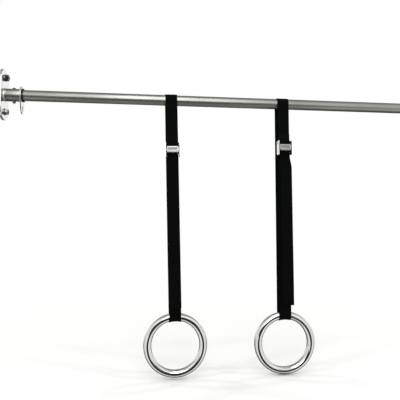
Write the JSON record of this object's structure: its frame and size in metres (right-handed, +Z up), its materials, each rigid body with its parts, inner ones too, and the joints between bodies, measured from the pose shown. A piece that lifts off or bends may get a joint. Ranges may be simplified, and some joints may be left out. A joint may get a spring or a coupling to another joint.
{
  "type": "gymnastic rings",
  "caption": "Steel exercise rings on black webbing straps with cam buckles, hung from a level steel bar that two wall brackets hold.",
  "frame": {"origin": "centre of the left wall plate's back face, on the bar's axis", "axes": "+X along the bar towards the right wall, +Y away from the buckles, +Z up"},
  "size_m": [1.41, 0.081, 0.961],
  "materials": {
    "satin_steel": "satin",
    "polished_steel": "polished",
    "mirror_steel": "mirror polished",
    "black_webbing": "woven",
    "black_rubber": "matte",
    "spring_steel": "drawn wire"
  },
  "bodies": {
    "root": {"bar_tube": "satin_steel", "left_wall_plate": "polished_steel", "left_upper_stud": "polished_steel", "left_upper_washer": "polished_steel", "left_upper_nut": "polished_steel", "left_lower_stud": "polished_steel", "left_lower_washer": "polished_steel", "left_lower_nut": "polished_steel", "left_sleeve": "polished_steel", "left_eye_collar": "polished_steel", "left_mouth_seal": "black_rubber", "left_cross_bolt": "polished_steel", "left_cross_nut": "polished_steel", "right_wall_plate": "polished_steel", "right_upper_stud": "polished_steel", "right_upper_washer": "polished_steel", "right_upper_nut": "polished_steel", "right_lower_stud": "polished_steel", "right_lower_washer": "polished_steel", "right_lower_nut": "polished_steel", "right_sleeve": "polished_steel", "right_eye_collar": "polished_steel", "right_mouth_seal": "black_rubber", "right_cross_bolt": "polished_steel", "right_cross_nut": "polished_steel"},
    "left_strap": {"left_strap_upper": "black_webbing", "left_strap_back_run": "black_webbing", "left_strap_front_run": "black_webbing", "left_strap_cam_wrap": "black_webbing", "left_strap_tail": "black_webbing", "left_buckle_frame": "polished_steel", "left_anchor_pin": "polished_steel", "left_cam_pin": "polished_steel", "left_cam_spring": "spring_steel"},
    "left_cam": {"left_cam_lever": "polished_steel"},
    "left_lower_strap": {"left_strap_back_lower": "black_webbing", "left_strap_front_lower": "black_webbing"},
    "left_tail_end": {"left_strap_tail_end": "black_webbing"},
    "left_ring_loop": {"left_strap_ring_loop": "black_webbing"},
    "left_ring": {"left_ring": "mirror_steel", "left_ring_spigot": "mirror_steel"},
    "right_strap": {"right_strap_upper": "black_webbing", "right_strap_back_run": "black_webbing", "right_strap_front_run": "black_webbing", "right_strap_cam_wrap": "black_webbing", "right_strap_tail": "black_webbing", "right_buckle_frame": "polished_steel", "right_anchor_pin": "polished_steel", "right_cam_pin": "polished_steel", "right_cam_spring": "spring_steel"},
    "right_cam": {"right_cam_lever": "polished_steel"},
    "right_lower_strap": {"right_strap_back_lower": "black_webbing", "right_strap_front_lower": "black_webbing"},
    "right_tail_end": {"right_strap_tail_end": "black_webbing"},
    "right_ring_loop": {"right_strap_ring_loop": "black_webbing"},
    "right_ring": {"right_ring": "mirror_steel", "right_ring_spigot": "mirror_steel"}
  },
  "joints": [
    {"name": "left_strap_swing", "type": "hinge", "parent": "root", "child": "left_strap", "pos_m": [0.5195, 0, 0], "axis": [1, 0, 0], "range_deg": [-70, 70]},
    {"name": "left_cam_press", "type": "hinge", "parent": "left_strap", "child": "left_cam", "pos_m": [0.52297, -0.03432, -0.16547], "axis": [-0.9998, 0, -0.0209], "range_deg": [0, 30], "stiffness_Nm_per_rad": 0.15, "springref_deg": -20.05},
    {"name": "left_strap_shorten", "type": "slide", "parent": "left_strap", "child": "left_lower_strap", "axis": [-0.0209, 0, 0.9998], "range_m": [0, 0.25], "deforming": ["left_strap_front_run", "left_strap_back_run"]},
    {"name": "left_tail_run_out", "type": "slide", "parent": "left_strap", "child": "left_tail_end", "axis": [-0.0209, 0, 0.9998], "range_m": [-0.5, 0], "deforming": ["left_strap_tail"]},
    {"name": "left_ring_twist", "type": "hinge", "parent": "left_lower_strap", "child": "left_ring_loop", "pos_m": [0.53341, 0, -0.66385], "axis": [-0.0209, 0, 0.9998], "range_deg": [-90, 90]},
    {"name": "left_ring_tilt", "type": "hinge", "parent": "left_ring_loop", "child": "left_ring", "pos_m": [0.53395, 0, -0.68985], "axis": [0.9998, 0, 0.0209], "range_deg": [-60, 60]},
    {"name": "right_strap_swing", "type": "hinge", "parent": "root", "child": "right_strap", "pos_m": [0.887, 0, 0], "axis": [1, 0, 0], "range_deg": [-70, 70]},
    {"name": "right_cam_press", "type": "hinge", "parent": "right_strap", "child": "right_cam", "pos_m": [0.88766, -0.03392, -0.15151], "axis": [-1, 0, -0.0044], "range_deg": [0, 30], "stiffness_Nm_per_rad": 0.15, "springref_deg": -20.05},
    {"name": "right_strap_shorten", "type": "slide", "parent": "right_strap", "child": "right_lower_strap", "axis": [-0.0044, 0, 1], "range_m": [0, 0.25], "deforming": ["right_strap_front_run", "right_strap_back_run"]},
    {"name": "right_tail_run_out", "type": "slide", "parent": "right_strap", "child": "right_tail_end", "axis": [-0.0044, 0, 1], "range_m": [-0.5, 0], "deforming": ["right_strap_tail"]},
    {"name": "right_ring_twist", "type": "hinge", "parent": "right_lower_strap", "child": "right_ring_loop", "pos_m": [0.88992, 0, -0.66799], "axis": [-0.0044, 0, 1], "range_deg": [-90, 90]},
    {"name": "right_ring_tilt", "type": "hinge", "parent": "right_ring_loop", "child": "right_ring", "pos_m": [0.89003, 0, -0.69399], "axis": [1, 0, 0.0044], "range_deg": [-60, 60]}
  ],
  "couplings": [
    {"joint": "left_tail_run_out", "follows": "left_strap_shorten", "ratio": -2},
    {"joint": "right_tail_run_out", "follows": "right_strap_shorten", "ratio": -2}
  ]
}
